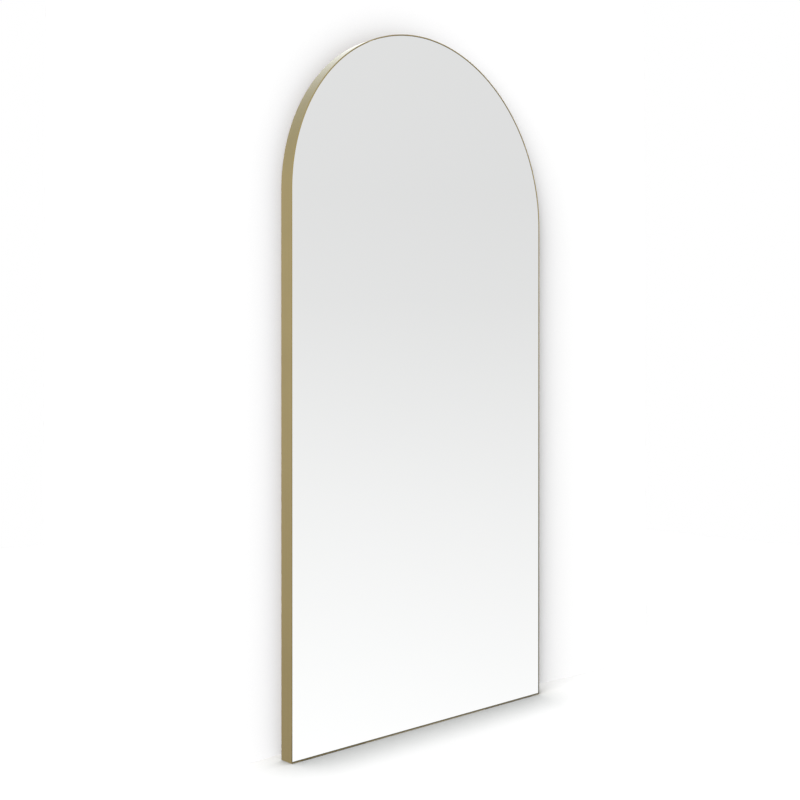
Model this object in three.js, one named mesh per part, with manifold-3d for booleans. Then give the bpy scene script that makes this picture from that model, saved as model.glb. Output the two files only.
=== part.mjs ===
// An arched, full-length floor mirror, in millimetres.
// +Z is up and the glass faces -Y. The origin is on the floor, under the middle of the whole mirror.
// Y runs from the band's front edge, past the glass, board and timber, to the wall bumpers at the back.

import * as THREE from 'three';
import { mergeVertices } from 'three/addons/utils/BufferGeometryUtils.js';
import Module from 'manifold-3d';

const wasm = await Module();
wasm.setup();

// ---- Overall size ----
const mirrorWidth = 900;
const mirrorHeight = 1800;
const bandDepth = 40;
const bandThickness = 2.5;
const wallGap = 3; // how far the bumpers stand out behind the band

// ---- Clearances ----
const seatGap = 0.3; // between pieces that rest on, are glued to or are screwed to each other
const edgeGap = 0.5; // round the edge of the glass and the board
const holeGap = 0.4; // round a screw in its hole
const mitreGap = 0.4; // along the bottom bar, where its mitres meet the legs

// ---- Glass, film and board ----
const glassRecess = 1.2; // step from the band's front edge back to the glass
const glassThickness = 4;
const filmThickness = 0.3;
const filmInset = 3;
const adhesiveThickness = 1;
const adhesiveWidth = 14;
const adhesiveRuns = 4;
const adhesiveEndInset = 110;
const boardThickness = 9;
const padThickness = 1.5;
const padLength = 60;

// ---- Timber on the back of the board ----
const timberWidth = 45;
const timberThickness = 15;
const timberInset = 30; // from the band's inner face to the stiles and the bottom rail
const stileTopDrop = 20; // from the spring of the arch down to the stiles' top ends
const crownLength = 140;
const crownHeight = 30;
const crownInset = 14;

// ---- Lugs and gussets inside the band ----
const lugThickness = 1.5;
const lugWidth = 20;
const lugFoot = 19;
const lugRise = 15;
const lugArchAngle = 35; // degrees from the top of the arch
const lugEndInset = 180; // from the floor, or from the spring of the arch, to the nearest lug on a leg
const gussetLeg = 28;
const gussetThickness = 2;
const gussetDepth = 14;

// ---- Screws ----
const lugScrew = { shank: 3.5, head: 7, headHeight: 2.2, grip: 7 };
const hangerScrew = { shank: 4, head: 8, headHeight: 2.4, grip: 11 };
const bumperScrew = { shank: 3, head: 6, headHeight: 1.8, grip: 10 };
const screwTip = 2;
const pilotSpare = 0.8; // how much deeper a pilot hole goes than its screw

// ---- Hangers ----
const hangerDrop = 85; // from the stiles' top ends down to the rings' pivot
const strapThickness = 1.5;
const strapWidth = 18;
const strapLength = 56;
const strapScrewDrops = [28, 46]; // from the pivot down to each screw
const ringWire = 3.5;
const ringWidth = 30;
const ringSide = 4; // straight side between the ring's bar and its half-round loop
const ringCorner = 2.5;
const knuckleGap = 0.5;

// ---- Bumpers and floor strips ----
const bumperDiameter = 18;
const bumperTip = 16.4; // diameter of the face that meets the wall
const bumperBore = 4;
const bumperSink = 3; // from the wall face down to the top of the screw head
const crownBumperSpacing = 90;
const lowBumperRise = 75; // from the stiles' bottom ends up to the lower bumpers
const stripThickness = 1;
const stripLength = 200;
const stripEndInset = 30;
const stripEdgeInset = 0.5;

// ---- Rounding of the facets ----
const archSegments = 96; // in the half circle
const holeSides = 12;
const screwSides = 10;
const bumperSides = 16;
const knuckleSides = 16;
const ringArcSegments = 8; // in the ring's half circle and in each of its corners

// ---- Places that follow from the sizes ----
const halfWidth = mirrorWidth / 2;
const springZ = mirrorHeight - halfWidth;
const overallDepth = bandDepth + wallGap;
const frontY = -overallDepth / 2;
const wallY = overallDepth / 2;
const innerRadius = halfWidth - bandThickness;
const barBottomZ = stripThickness + seatGap;
const barTopZ = barBottomZ + bandThickness;

const glassFrontY = frontY + glassRecess;
const filmFrontY = glassFrontY + glassThickness + seatGap;
const adhesiveFrontY = filmFrontY + filmThickness + seatGap;
const boardFrontY = adhesiveFrontY + adhesiveThickness + seatGap;
const boardBackY = boardFrontY + boardThickness;
const backingY = boardBackY + seatGap; // front plane of everything fixed on the back of the board
const timberBackY = backingY + timberThickness;

const boardBottomZ = barTopZ + seatGap + padThickness + seatGap;
const panelRadius = innerRadius - edgeGap;

const stileBottomZ = barTopZ + timberInset;
const stileTopZ = springZ - stileTopDrop;
const stileX = innerRadius - timberInset - timberWidth / 2;
const railLength = 2 * (stileX - timberWidth / 2 - seatGap);
const crownRadius = panelRadius - crownInset;
const crownTopZ = springZ + Math.sqrt(crownRadius ** 2 - (crownLength / 2) ** 2);
const crownZ = crownTopZ - crownHeight / 2;
const hangerZ = stileTopZ - hangerDrop;
const lowBumperZ = stileBottomZ + lowBumperRise;
const bumperFrontY = timberBackY + seatGap;
const bumperLength = wallY - bumperFrontY;

const knuckleBore = ringWire / 2 + knuckleGap;
const knuckleRadius = knuckleBore + strapThickness;
const strapFrontY = timberBackY + seatGap;
const pivotY = strapFrontY + knuckleRadius;

// ---- Materials ----
const finish = (color, roughness, metalness) =>
  new THREE.MeshStandardMaterial({ color, roughness, metalness });

const materials = {
  band: finish(0xa3916a, 0.38, 1),
  mirror: finish(0xe9ecec, 0.03, 1),
  film: finish(0x8f9496, 0.5, 0),
  adhesive: finish(0xd9d6cc, 0.8, 0),
  board: finish(0x9c7b58, 0.85, 0),
  timber: finish(0xc9a676, 0.7, 0),
  steel: finish(0xb4b6b8, 0.35, 1),
  rubber: finish(0x1d1d1e, 0.8, 0),
};

const mirror = new THREE.Group();

function add(name, geometry, material, parent = mirror) {
  const mesh = new THREE.Mesh(geometry, material);
  mesh.name = name;
  parent.add(mesh);
  return mesh;
}

// ---- Shapes ----

function box(width, depth, height) {
  return new THREE.BoxGeometry(width, depth, height);
}

// A flat outline in the mirror's plane, made solid from frontY backwards.
function slab(shape, front, thickness) {
  const geometry = new THREE.ExtrudeGeometry(shape, {
    depth: thickness,
    bevelEnabled: false,
    curveSegments: archSegments / 2, // a full or half ellipse gets twice as many
  });
  geometry.rotateX(Math.PI / 2);
  geometry.translate(0, front + thickness, 0);
  return geometry;
}

// The outline of the glass, the film or the board: a straight foot, two sides and a half-round top.
function archedOutline(radius, bottomZ) {
  const shape = new THREE.Shape();
  shape.moveTo(-radius, bottomZ);
  shape.lineTo(radius, bottomZ);
  shape.lineTo(radius, springZ);
  shape.absarc(0, springZ, radius, 0, Math.PI, false);
  shape.closePath();
  return shape;
}

// A rod along Y, used to drill holes.
function drill(radius, front, length, x, z) {
  const geometry = new THREE.CylinderGeometry(radius, radius, length, holeSides);
  geometry.translate(x, front + length / 2, z);
  return geometry;
}

function toSolid(geometry) {
  const bare = geometry.clone();
  bare.deleteAttribute('normal');
  bare.deleteAttribute('uv');
  const merged = mergeVertices(bare, 1e-4);
  return new wasm.Manifold(
    new wasm.Mesh({
      numProp: 3,
      vertProperties: merged.attributes.position.array,
      triVerts: new Uint32Array(merged.index.array),
    })
  );
}

function toGeometry(solid) {
  const { vertProperties, triVerts } = solid.getMesh();
  const geometry = new THREE.BufferGeometry();
  geometry.setAttribute('position', new THREE.BufferAttribute(vertProperties, 3));
  geometry.setIndex(new THREE.BufferAttribute(triVerts, 1));
  return geometry;
}

function cut(geometry, tools) {
  const solid = tools.reduce((left, tool) => left.subtract(toSolid(tool)), toSolid(geometry));
  return toGeometry(solid);
}

// A pan-head wood screw along Y: its head sits on the plane y = 0 and its shank runs to -Y.
function screwGeometry({ shank, head, headHeight }, length) {
  const crown = head * 0.32;
  const profile = [
    [0, -length],
    [shank / 2, screwTip - length],
    [shank / 2, 0],
    [head / 2, 0],
    [head / 2, headHeight * 0.55],
    [crown, headHeight],
    [0, headHeight],
  ];
  const points = profile.map(([radius, along]) => new THREE.Vector2(radius, along));
  return new THREE.LatheGeometry(points, screwSides);
}

// The blind hole that a screw needs in what it holds on to.
function pilotHole({ shank, grip }, surfaceY, x, z) {
  const depth = grip + pilotSpare;
  return drill(shank / 2 + holeGap, surfaceY - depth, depth + 1, x, z);
}

// ---- The band ----

const bandBore = innerRadius;

const bandOutline = new THREE.Shape();
bandOutline.moveTo(-halfWidth, barBottomZ);
bandOutline.lineTo(-bandBore, barTopZ);
bandOutline.lineTo(-bandBore, springZ);
bandOutline.absarc(0, springZ, bandBore, Math.PI, 0, true);
bandOutline.lineTo(bandBore, barTopZ);
bandOutline.lineTo(halfWidth, barBottomZ);
bandOutline.lineTo(halfWidth, springZ);
bandOutline.absarc(0, springZ, halfWidth, 0, Math.PI, false);
bandOutline.closePath();
add('frame_band', slab(bandOutline, frontY, bandDepth), materials.band);

const barOutline = new THREE.Shape();
barOutline.moveTo(mitreGap - halfWidth, barBottomZ);
barOutline.lineTo(halfWidth - mitreGap, barBottomZ);
barOutline.lineTo(bandBore - mitreGap, barTopZ);
barOutline.lineTo(mitreGap - bandBore, barTopZ);
barOutline.closePath();
add('frame_bottom_bar', slab(barOutline, frontY, bandDepth), materials.band);

// ---- Glass and film ----

const glassOutline = archedOutline(panelRadius, barTopZ + edgeGap);
add('mirror_glass', slab(glassOutline, glassFrontY, glassThickness), materials.mirror);

const filmOutline = archedOutline(panelRadius - filmInset, barTopZ + edgeGap + filmInset);
add('safety_film', slab(filmOutline, filmFrontY, filmThickness), materials.film);

const adhesiveBottomZ = boardBottomZ + adhesiveEndInset;
const adhesiveTopZ = springZ - adhesiveEndInset;
const adhesiveLength = adhesiveTopZ - adhesiveBottomZ;
for (let run = 0; run < adhesiveRuns; run += 1) {
  const strip = add(
    `adhesive_strip_${run + 1}`,
    box(adhesiveWidth, adhesiveThickness, adhesiveLength),
    materials.adhesive
  );
  const x = (mirrorWidth * (run + 0.5)) / adhesiveRuns - halfWidth;
  strip.position.set(
    x,
    adhesiveFrontY + adhesiveThickness / 2,
    (adhesiveBottomZ + adhesiveTopZ) / 2
  );
}

// ---- Lugs: where each stands on the band's inner face, and which way is inwards ----

const legLugs = [lugEndInset, springZ - lugEndInset].flatMap((z) => [
  { x: -innerRadius, z, inX: 1, inZ: 0 },
  { x: innerRadius, z, inX: -1, inZ: 0 },
]);
const bottomLugs = [-halfWidth / 2, halfWidth / 2].map((x) => ({
  x,
  z: barTopZ,
  inX: 0,
  inZ: 1,
}));
const archLugs = [-lugArchAngle, lugArchAngle].map((degrees) => {
  const angle = THREE.MathUtils.degToRad(degrees);
  return {
    x: innerRadius * Math.sin(angle),
    z: springZ + innerRadius * Math.cos(angle),
    inX: -Math.sin(angle),
    inZ: -Math.cos(angle),
  };
});
const lugs = [...legLugs, ...bottomLugs, ...archLugs];
const lugHoleReach = seatGap + lugFoot * 0.6; // from the band's inner face to the screw

// ---- Board, drilled for the lug screws ----

const boardHoles = lugs.map(({ x, z, inX, inZ }) =>
  pilotHole(lugScrew, boardBackY, x + inX * lugHoleReach, z + inZ * lugHoleReach)
);
const boardSlab = slab(archedOutline(panelRadius, boardBottomZ), boardFrontY, boardThickness);
add('backing_board', cut(boardSlab, boardHoles), materials.board);

for (const [side, sign] of [['left', -1], ['right', 1]]) {
  const pad = add(
    `setting_pad_${side}`,
    box(padLength, boardThickness, padThickness),
    materials.rubber
  );
  pad.position.set(
    (sign * halfWidth) / 2,
    boardFrontY + boardThickness / 2,
    barTopZ + seatGap + padThickness / 2
  );
}

// A lug in its own frame: +X points inwards from the band, and Y = 0 is the back of the board.
function lugGeometry() {
  const leg = box(lugThickness, lugRise, lugWidth);
  leg.translate(seatGap + lugThickness / 2, seatGap + lugRise / 2, 0);
  const foot = box(lugFoot, lugThickness, lugWidth);
  foot.translate(seatGap + lugFoot / 2, seatGap + lugThickness / 2, 0);
  const hole = drill(lugScrew.shank / 2 + holeGap, 0, seatGap + lugThickness + 1, lugHoleReach, 0);
  return toGeometry(toSolid(leg).add(toSolid(foot)).subtract(toSolid(hole)));
}

lugs.forEach(({ x, z, inX, inZ }, index) => {
  const place = new THREE.Group();
  place.position.set(x, boardBackY, z);
  place.rotation.y = Math.atan2(-inZ, inX);
  mirror.add(place);
  add(`fixing_lug_${index + 1}`, lugGeometry(), materials.steel, place);

  const underHead = seatGap + lugThickness + seatGap;
  const length = underHead + lugScrew.grip;
  const screw = add(
    `lug_screw_${index + 1}`,
    screwGeometry(lugScrew, length),
    materials.steel,
    place
  );
  screw.position.set(lugHoleReach, underHead, 0);
});

// ---- Gussets in the bottom corners ----

for (const [side, sign] of [['left', -1], ['right', 1]]) {
  const outerX = sign * (innerRadius - seatGap);
  const inward = -sign;
  const footZ = barTopZ + seatGap;
  const outline = new THREE.Shape();
  outline.moveTo(outerX, footZ);
  outline.lineTo(outerX + inward * gussetLeg, footZ);
  outline.lineTo(outerX + inward * gussetLeg, footZ + gussetThickness);
  outline.lineTo(outerX + inward * gussetThickness, footZ + gussetThickness);
  outline.lineTo(outerX + inward * gussetThickness, footZ + gussetLeg);
  outline.lineTo(outerX, footZ + gussetLeg);
  outline.closePath();
  add(`corner_gusset_${side}`, slab(outline, backingY, gussetDepth), materials.steel);
}

// ---- Timber, drilled for the hangers and the bumpers ----

const stileLength = stileTopZ - stileBottomZ;
for (const [side, sign] of [['left', -1], ['right', 1]]) {
  const x = sign * stileX;
  const stile = box(timberWidth, timberThickness, stileLength);
  stile.translate(x, backingY + timberThickness / 2, (stileBottomZ + stileTopZ) / 2);
  const holes = strapScrewDrops.map((drop) =>
    pilotHole(hangerScrew, timberBackY, x, hangerZ - drop)
  );
  holes.push(pilotHole(bumperScrew, timberBackY, x, lowBumperZ));
  add(`stile_${side}`, cut(stile, holes), materials.timber);
}

const railNames = ['bottom', 'middle', 'top'];
const railStep = (stileLength - timberWidth) / (railNames.length - 1);
railNames.forEach((name, index) => {
  const rail = add(
    `rail_${name}`,
    box(railLength, timberThickness, timberWidth),
    materials.timber
  );
  const z = stileBottomZ + timberWidth / 2 + index * railStep;
  rail.position.set(0, backingY + timberThickness / 2, z);
});

const crownBumperX = crownBumperSpacing / 2;
const crownBlock = box(crownLength, timberThickness, crownHeight);
crownBlock.translate(0, backingY + timberThickness / 2, crownZ);
const crownHoles = [-crownBumperX, crownBumperX].map((x) =>
  pilotHole(bumperScrew, timberBackY, x, crownZ)
);
add('crown_block', cut(crownBlock, crownHoles), materials.timber);

// ---- Hangers ----

// A strap in its own frame: the pivot is the origin, and the strap runs down its front side.
function strapGeometry() {
  const backOfLeaf = strapThickness - knuckleRadius;
  const outline = new THREE.Shape();
  outline.moveTo(-knuckleRadius, 0);
  outline.lineTo(-knuckleRadius, -strapLength);
  outline.lineTo(backOfLeaf, -strapLength);
  outline.lineTo(backOfLeaf, 0);
  outline.closePath();
  const leaf = new THREE.ExtrudeGeometry(outline, { depth: strapWidth, bevelEnabled: false });
  const barrel = new THREE.CylinderGeometry(knuckleRadius, knuckleRadius, strapWidth, knuckleSides);
  const bore = new THREE.CylinderGeometry(knuckleBore, knuckleBore, strapWidth + 2, knuckleSides);
  leaf.translate(0, 0, -strapWidth / 2);
  for (const round of [barrel, bore]) {
    round.rotateX(Math.PI / 2);
  }
  const turned = [leaf, barrel, bore].map((piece) => {
    piece.rotateY(Math.PI / 2);
    piece.rotateX(Math.PI / 2);
    return toSolid(piece);
  });
  const [leafSolid, barrelSolid, boreSolid] = turned;
  const holes = strapScrewDrops.map((drop) =>
    toSolid(drill(hangerScrew.shank / 2 + holeGap, -knuckleRadius - 1, strapThickness + 2, 0, -drop))
  );
  const strap = holes.reduce(
    (left, hole) => left.subtract(hole),
    leafSolid.add(barrelSolid).subtract(boreSolid)
  );
  return toGeometry(strap);
}

// A D-ring in its own frame: its straight bar lies along X through the origin, and it hangs down.
function ringGeometry() {
  const half = ringWire / 2;
  const arcRadius = ringWidth / 2 - half;
  const outline = ringOutline(arcRadius + half, half, ringCorner + half);
  outline.holes.push(ringOutline(arcRadius - half, -half, ringCorner - half));
  const chamfer = ringWire * (1 - Math.SQRT1_2);
  const geometry = new THREE.ExtrudeGeometry(outline, {
    depth: ringWire - 2 * chamfer,
    bevelEnabled: true,
    bevelThickness: chamfer,
    bevelSize: chamfer,
    bevelOffset: -chamfer,
    bevelSegments: 1,
    curveSegments: ringArcSegments / 2,
  });
  geometry.rotateX(Math.PI / 2);
  geometry.translate(0, half - chamfer, 0);
  return geometry;
}

// One edge of the D: a straight top with two rounded corners, straight sides and a half-round foot.
function ringOutline(radius, top, corner) {
  const outline = new THREE.Shape();
  outline.moveTo(-radius, -ringSide);
  outline.absarc(0, -ringSide, radius, Math.PI, 2 * Math.PI, false);
  outline.absarc(radius - corner, top - corner, corner, 0, Math.PI / 2, false);
  outline.absarc(corner - radius, top - corner, corner, Math.PI / 2, Math.PI, false);
  outline.closePath();
  return outline;
}

for (const [side, sign] of [['left', -1], ['right', 1]]) {
  const hanger = new THREE.Group();
  hanger.position.set(sign * stileX, pivotY, hangerZ);
  mirror.add(hanger);
  add(`hanger_strap_${side}`, strapGeometry(), materials.steel, hanger);
  add(`d_ring_${side}`, ringGeometry(), materials.steel, hanger);
  strapScrewDrops.forEach((drop, index) => {
    const underHead = seatGap + strapThickness + seatGap;
    const screw = add(
      `hanger_screw_${side}_${index + 1}`,
      screwGeometry(hangerScrew, underHead + hangerScrew.grip),
      materials.steel,
      hanger
    );
    screw.position.set(0, strapThickness + seatGap - knuckleRadius, -drop);
  });
}

// ---- Bumpers ----

// A rubber bumper along Y, from its foot at y = 0 to its wall face, with a sunk hole for its screw.
function bumperGeometry() {
  const foot = bumperDiameter / 2;
  const tip = bumperTip / 2;
  const bore = bumperBore / 2;
  const sinkRadius = bumperScrew.head / 2 + holeGap;
  const sinkY = bumperLength - bumperSink - bumperScrew.headHeight;
  const profile = [
    [bore, 0],
    [foot, 0],
    [tip, bumperLength],
    [sinkRadius, bumperLength],
    [sinkRadius, sinkY],
    [bore, sinkY],
    [bore, 0],
  ];
  const points = profile.map(([radius, along]) => new THREE.Vector2(radius, along));
  return new THREE.LatheGeometry(points, bumperSides);
}

const bumperPlaces = [
  ['low_left', -stileX, lowBumperZ],
  ['low_right', stileX, lowBumperZ],
  ['top_left', -crownBumperX, crownZ],
  ['top_right', crownBumperX, crownZ],
];
for (const [name, x, z] of bumperPlaces) {
  const place = new THREE.Group();
  place.position.set(x, bumperFrontY, z);
  mirror.add(place);
  add(`bumper_${name}`, bumperGeometry(), materials.rubber, place);

  const headSeat = bumperLength - bumperSink - bumperScrew.headHeight + seatGap;
  const length = headSeat + seatGap + bumperScrew.grip;
  const screw = add(
    `bumper_screw_${name}`,
    screwGeometry(bumperScrew, length),
    materials.steel,
    place
  );
  screw.position.y = headSeat;
}

// ---- Anti-slip strips under the bottom bar ----

for (const [side, sign] of [['left', -1], ['right', 1]]) {
  const strip = add(
    `floor_strip_${side}`,
    box(stripLength, bandDepth - 2 * stripEdgeInset, stripThickness),
    materials.rubber
  );
  strip.position.set(
    sign * (halfWidth - stripEndInset - stripLength / 2),
    frontY + bandDepth / 2,
    stripThickness / 2
  );
}

export default mirror;
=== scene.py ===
"""The looks of an arched floor mirror: brushed brass band, silvered glass, timber-stiffened back.

Lengths are metres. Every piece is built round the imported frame, from the sizes of its own nodes.
"""

import math

import bmesh
import bpy
from mathutils import Matrix, Vector


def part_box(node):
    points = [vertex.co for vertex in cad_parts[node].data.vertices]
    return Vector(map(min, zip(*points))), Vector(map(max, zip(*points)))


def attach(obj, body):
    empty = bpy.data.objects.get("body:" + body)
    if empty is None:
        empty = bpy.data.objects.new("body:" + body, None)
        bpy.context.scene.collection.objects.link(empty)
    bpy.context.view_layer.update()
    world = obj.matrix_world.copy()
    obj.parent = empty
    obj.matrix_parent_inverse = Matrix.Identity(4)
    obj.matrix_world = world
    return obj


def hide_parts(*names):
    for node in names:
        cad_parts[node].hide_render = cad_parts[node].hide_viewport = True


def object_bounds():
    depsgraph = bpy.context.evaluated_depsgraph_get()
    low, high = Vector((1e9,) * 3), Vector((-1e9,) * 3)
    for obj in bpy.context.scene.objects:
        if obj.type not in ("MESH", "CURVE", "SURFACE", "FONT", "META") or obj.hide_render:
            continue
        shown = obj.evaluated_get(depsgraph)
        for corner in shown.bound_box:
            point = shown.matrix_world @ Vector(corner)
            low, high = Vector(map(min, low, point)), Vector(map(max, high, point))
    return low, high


MM = 0.001
UP = Vector((0, 0, 1))
BACK = Vector((0, 1, 0))
SIDES = ("left", "right")
BUMPERS = ("low_left", "low_right", "top_left", "top_right")
LUGS = 8

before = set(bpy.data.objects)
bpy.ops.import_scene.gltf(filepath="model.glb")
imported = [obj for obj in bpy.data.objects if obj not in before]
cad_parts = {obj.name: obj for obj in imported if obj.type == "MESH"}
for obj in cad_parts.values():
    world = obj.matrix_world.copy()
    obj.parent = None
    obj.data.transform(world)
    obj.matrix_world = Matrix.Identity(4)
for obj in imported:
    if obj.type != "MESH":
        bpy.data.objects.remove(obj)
cad_low, cad_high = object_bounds()
scene = bpy.context.scene

# ---- Sizes read from the frame ----

band_low, band_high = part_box("frame_band")
bar_low, bar_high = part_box("frame_bottom_bar")
glass_low, glass_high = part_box("mirror_glass")

RADIUS = (band_high.x - band_low.x) / 2
SPRING_Z = band_high.z - RADIUS
STRIP = bar_high.z - bar_low.z
FRONT_Y, REAR_Y = band_low.y, band_high.y
FOOT_Z = bar_low.z
WALL_Y = cad_high.y

# ---- Camera: the photograph's place, lens and framing ----

CAMERA_LENS = 50
CAMERA_SENSOR = 36
CAMERA_LEFT = 2.0410
CAMERA_AHEAD = 2.0771
CAMERA_UP = 0.863
CAMERA_HEADING = math.radians(43.025)
CAMERA_DOWN = math.radians(0.18)


def make_camera():
    data = bpy.data.cameras.new("camera")
    data.lens = CAMERA_LENS
    data.sensor_width = CAMERA_SENSOR
    camera = bpy.data.objects.new("camera", data)
    camera.location = (-CAMERA_LEFT, FRONT_Y - CAMERA_AHEAD, CAMERA_UP)
    camera.rotation_euler = (math.pi / 2 - CAMERA_DOWN, 0, -CAMERA_HEADING)
    scene.collection.objects.link(camera)
    scene.camera = camera


# ---- Node helpers ----


class Nodes:
    """A node tree with short calls to add a node, join sockets and set values."""

    def __init__(self, tree):
        self.tree = tree
        tree.nodes.clear()

    def add(self, kind, inputs=None, **settings):
        node = self.tree.nodes.new(kind)
        for name, value in settings.items():
            setattr(node, name, value)
        for name, value in (inputs or {}).items():
            self.feed(node.inputs[name], value)
        return node

    def feed(self, socket, value):
        if isinstance(value, bpy.types.NodeSocket):
            self.tree.links.new(value, socket)
        else:
            socket.default_value = value

    def math(self, operation, *values):
        node = self.add("ShaderNodeMath", operation=operation)
        for socket, value in zip(node.inputs, values):
            self.feed(socket, value)
        return node.outputs[0]

    def mix(self, factor, first, second, blend="MIX"):
        """Two colours mixed. The node's colour sockets are its seventh and eighth."""
        node = self.add("ShaderNodeMix", data_type="RGBA", blend_type=blend)
        self.feed(node.inputs["Factor"], factor)
        self.feed(node.inputs[6], first)
        self.feed(node.inputs[7], second)
        return node.outputs[2]

    def ramp(self, factor, stops):
        """A colour for each place along the factor. A single number stands for a grey."""
        node = self.add("ShaderNodeValToRGB", {"Fac": factor})
        elements = node.color_ramp.elements
        while len(elements) < len(stops):
            elements.new(0.5)
        for element, (place, value) in zip(elements, stops):
            element.position = place
            colour = value if isinstance(value, tuple) else (value, value, value)
            element.color = (*colour, 1)
        return node.outputs["Color"]

    def spread(self, value, low, high, to_low=0.0, to_high=1.0, smooth=False):
        node = self.add(
            "ShaderNodeMapRange",
            {
                "Value": value,
                "From Min": low,
                "From Max": high,
                "To Min": to_low,
                "To Max": to_high,
            },
            interpolation_type="SMOOTHSTEP" if smooth else "LINEAR",
        )
        return node.outputs["Result"]

    def stretched(self, source, scale, place=(0, 0, 0)):
        node = self.add(
            "ShaderNodeMapping", {"Vector": source, "Scale": scale, "Location": place}
        )
        return node.outputs["Vector"]

    def noise(self, vector, scale, detail, roughness):
        node = self.add(
            "ShaderNodeTexNoise",
            {"Vector": vector, "Scale": scale, "Detail": detail, "Roughness": roughness},
        )
        return node.outputs["Fac"]

    def bump(self, height, strength, distance):
        node = self.add(
            "ShaderNodeBump", {"Height": height, "Strength": strength, "Distance": distance}
        )
        return node.outputs["Normal"]

    def either(self, factor, first, second):
        """The first shader where the factor is 0, and the second where it is 1."""
        node = self.add("ShaderNodeMixShader", {"Fac": factor})
        self.feed(node.inputs[1], first.outputs[0])
        self.feed(node.inputs[2], second.outputs[0])
        return node

    def parts(self, vector):
        return self.add("ShaderNodeSeparateXYZ", {"Vector": vector}).outputs

    def object_place(self):
        return self.add("ShaderNodeTexCoord").outputs["Object"]

    def surface(self, **inputs):
        """A Principled shader wired to the output. An input's name has _ for each space."""
        named = {name.replace("_", " "): value for name, value in inputs.items()}
        shader = self.add("ShaderNodeBsdfPrincipled", named)
        self.add("ShaderNodeOutputMaterial", {"Surface": shader.outputs[0]})


def new_material(name):
    material = bpy.data.materials.new(name)
    material.use_nodes = True
    return material, Nodes(material.node_tree)


# ---- Materials ----

PATH_MAP = "along_path"

# The band's front edge has painted light: painted shade darkens it near the floor and a painted
# highlight brightens it high up. Its levels go by shares of the height. They apply between two
# fades, which are distances round the section.
EDGE_PAINTED_LIGHT = [(0.0, 0.38), (0.14, 0.34), (0.40, 0.70), (0.62, 1.10), (0.78, 1.30), (0.95, 1.0)]
EDGE_FADE_IN = (0.9 * MM, 1.7 * MM)
EDGE_FADE_OUT = (4.5 * MM, 6.5 * MM)

KNOT_SPACING = (7, 0, 7)
KNOT_PLACE = (0.30, 0, 0.45)


def brushed_brass():
    """Satin brass, brushed along the strip: fine streaks, faint clouding and a soft wide sheen.

    Its front edge has painted shade near the floor and a painted highlight high up.
    """
    material, n = new_material("brushed_brass")
    along = n.add("ShaderNodeUVMap", uv_map=PATH_MAP).outputs["UV"]
    fine = n.noise(n.stretched(along, (6, 5200, 1)), 1, 3, 0.6)
    broad = n.noise(n.stretched(along, (3, 900, 1), (7, 3, 0)), 1, 2, 0.55)
    cloud = n.noise(n.object_place(), 7, 3, 0.5)
    streaks = n.math("ADD", n.math("MULTIPLY", fine, 0.6), n.math("MULTIPLY", broad, 0.4))
    tone = n.math("ADD", n.math("MULTIPLY", streaks, 0.75), n.math("MULTIPLY", cloud, 0.25))
    colour = n.ramp(
        tone,
        [
            (0.30, (0.300, 0.224, 0.072)),
            (0.50, (0.349, 0.264, 0.090)),
            (0.72, (0.402, 0.308, 0.112)),
        ],
    )
    height = n.parts(n.object_place())["Z"]
    across = n.parts(along)["Y"]
    begins = n.spread(across, *EDGE_FADE_IN, smooth=True)
    ends = n.spread(across, *EDGE_FADE_OUT, 1.0, 0.0, smooth=True)
    # Painted light on the front edge: painted shade low down and a painted highlight high up,
    # multiplied into the brass colour
    painted_edge_light = n.ramp(n.spread(height, 0.0, SPRING_Z + RADIUS), EDGE_PAINTED_LIGHT)
    edge = n.mix(1.0, colour, painted_edge_light, "MULTIPLY")
    tangent = n.add("ShaderNodeTangent", direction_type="UV_MAP", uv_map=PATH_MAP)
    n.surface(
        Base_Color=n.mix(n.math("MULTIPLY", begins, ends), colour, edge),
        Metallic=1.0,
        Roughness=n.spread(streaks, 0.3, 0.7, 0.30, 0.42),
        Anisotropic=0.55,
        Coat_Weight=1.0,
        Coat_Roughness=0.16,
        Coat_IOR=1.5,
        Tangent=tangent.outputs["Tangent"],
        Normal=n.bump(streaks, 0.12, 0.0002),
    )
    return material


def silvered_glass():
    """The mirror face: a clean reflection, with the faintest clouding of its tint."""
    material, n = new_material("silvered_glass")
    cloud = n.noise(n.object_place(), 1.6, 1, 0.4)
    n.surface(
        Base_Color=n.ramp(cloud, [(0.3, (0.962, 0.968, 0.965)), (0.7, (0.966, 0.971, 0.969))]),
        Metallic=1.0,
        Roughness=0.0,
    )
    return material


def glass_edge():
    """The ground edge of the pane: dark bottle green, dull and finely scratched."""
    material, n = new_material("glass_edge")
    grind = n.noise(n.stretched(n.object_place(), (60, 2600, 60)), 1, 3, 0.6)
    n.surface(
        Base_Color=n.ramp(grind, [(0.3, (0.020, 0.042, 0.034)), (0.7, (0.042, 0.078, 0.064))]),
        Roughness=n.spread(grind, 0.3, 0.7, 0.30, 0.50),
        Normal=n.bump(grind, 0.2, 0.0002),
    )
    return material


def pane_paint():
    """The protective paint on the back of the silvering."""
    material, n = new_material("pane_paint")
    cloud = n.noise(n.object_place(), 40, 4, 0.6)
    n.surface(
        Base_Color=n.ramp(cloud, [(0.35, (0.150, 0.155, 0.160)), (0.65, (0.185, 0.190, 0.195))]),
        Roughness=n.spread(cloud, 0.3, 0.7, 0.50, 0.62),
    )
    return material


def woven_film():
    """Grey safety film with a fine woven reinforcement."""
    material, n = new_material("woven_film")
    place = n.object_place()
    threads = [
        n.add(
            "ShaderNodeTexWave",
            {"Vector": place, "Scale": 160},
            wave_type="BANDS",
            bands_direction=way,
        )
        for way in ("X", "Z")
    ]
    weave = n.math("MAXIMUM", *(thread.outputs["Fac"] for thread in threads))
    n.surface(
        Base_Color=n.ramp(weave, [(0.2, (0.33, 0.35, 0.36)), (0.9, (0.43, 0.45, 0.46))]),
        Roughness=n.spread(weave, 0, 1, 0.60, 0.42),
        Normal=n.bump(weave, 0.3, 0.0002),
    )
    return material


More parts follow.
